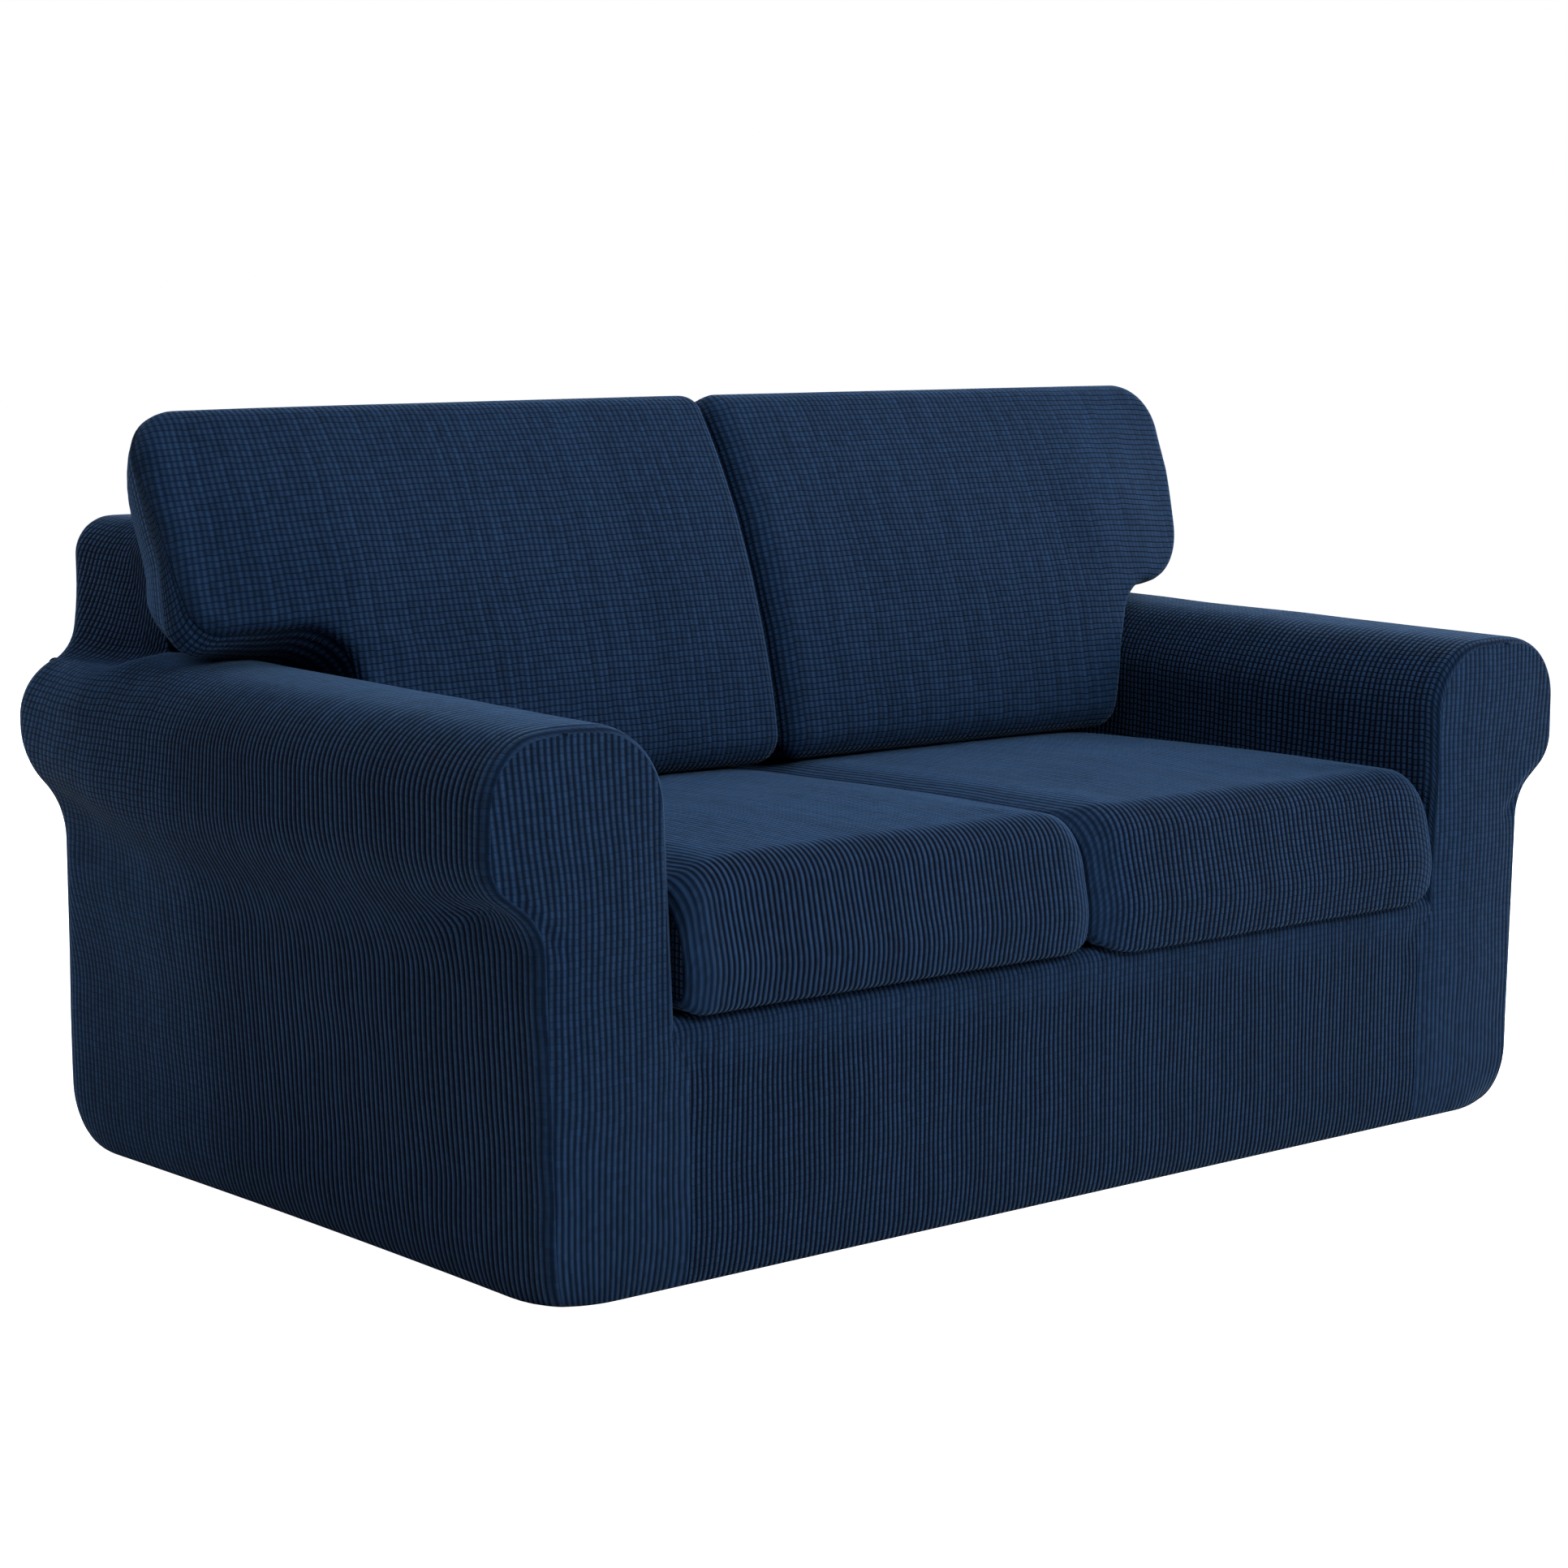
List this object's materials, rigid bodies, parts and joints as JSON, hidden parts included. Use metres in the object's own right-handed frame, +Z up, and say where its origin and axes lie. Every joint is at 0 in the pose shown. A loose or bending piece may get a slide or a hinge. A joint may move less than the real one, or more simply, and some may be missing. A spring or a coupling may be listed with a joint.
{
  "type": "sofa slipcover",
  "caption": "Fitted stretch-knit cover set for a two-seat sofa with rolled arms, with separate seat cushion covers and T-shaped back cushion covers.",
  "frame": {"origin": "centre of the covered sofa's footprint at floor level, at the middle of the bounding box's bottom", "axes": "+X to the right as seen from the front, -Y towards the front of the seat, +Z up"},
  "size_m": [1.672, 1.0179, 0.902],
  "materials": {
    "seat_deck_apron_cloth": "matte deep navy ribbed stretch knit",
    "inside_back_cloth": "matte deep navy ribbed stretch knit",
    "outside_back_cloth": "matte deep navy ribbed stretch knit",
    "arm_left_cloth": "matte deep navy ribbed stretch knit",
    "arm_right_cloth": "matte deep navy ribbed stretch knit",
    "arm_front_left_cloth": "matte deep navy ribbed stretch knit",
    "arm_front_right_cloth": "matte deep navy ribbed stretch knit",
    "back_end_left_cloth": "matte deep navy ribbed stretch knit",
    "back_end_right_cloth": "matte deep navy ribbed stretch knit",
    "seat_left_top_cloth": "matte deep navy ribbed stretch knit",
    "seat_left_inner_side_cloth": "matte deep navy ribbed stretch knit",
    "seat_left_outer_side_cloth": "matte deep navy ribbed stretch knit",
    "seat_right_top_cloth": "matte deep navy ribbed stretch knit",
    "seat_right_inner_side_cloth": "matte deep navy ribbed stretch knit",
    "seat_right_outer_side_cloth": "matte deep navy ribbed stretch knit",
    "back_face_left_cloth": "matte deep navy ribbed stretch knit",
    "back_face_right_cloth": "matte deep navy ribbed stretch knit",
    "back_boxing_left_cloth": "matte deep navy ribbed stretch knit",
    "back_boxing_right_cloth": "matte deep navy ribbed stretch knit",
    "back_rear_left_cloth": "matte deep navy ribbed stretch knit",
    "back_rear_right_cloth": "matte deep navy ribbed stretch knit"
  },
  "bodies": {
    "root": {"seat_deck_apron": "seat_deck_apron_cloth", "inside_back": "inside_back_cloth", "outside_back": "outside_back_cloth", "arm_left": "arm_left_cloth", "arm_right": "arm_right_cloth", "arm_front_left": "arm_front_left_cloth", "arm_front_right": "arm_front_right_cloth", "back_end_left": "back_end_left_cloth", "back_end_right": "back_end_right_cloth", "seat_left_top": "seat_left_top_cloth", "seat_left_inner_side": "seat_left_inner_side_cloth", "seat_left_outer_side": "seat_left_outer_side_cloth", "seat_right_top": "seat_right_top_cloth", "seat_right_inner_side": "seat_right_inner_side_cloth", "seat_right_outer_side": "seat_right_outer_side_cloth", "back_face_left": "back_face_left_cloth", "back_face_right": "back_face_right_cloth", "back_boxing_left": "back_boxing_left_cloth", "back_boxing_right": "back_boxing_right_cloth", "back_rear_left": "back_rear_left_cloth", "back_rear_right": "back_rear_right_cloth"}
  },
  "joints": []
}
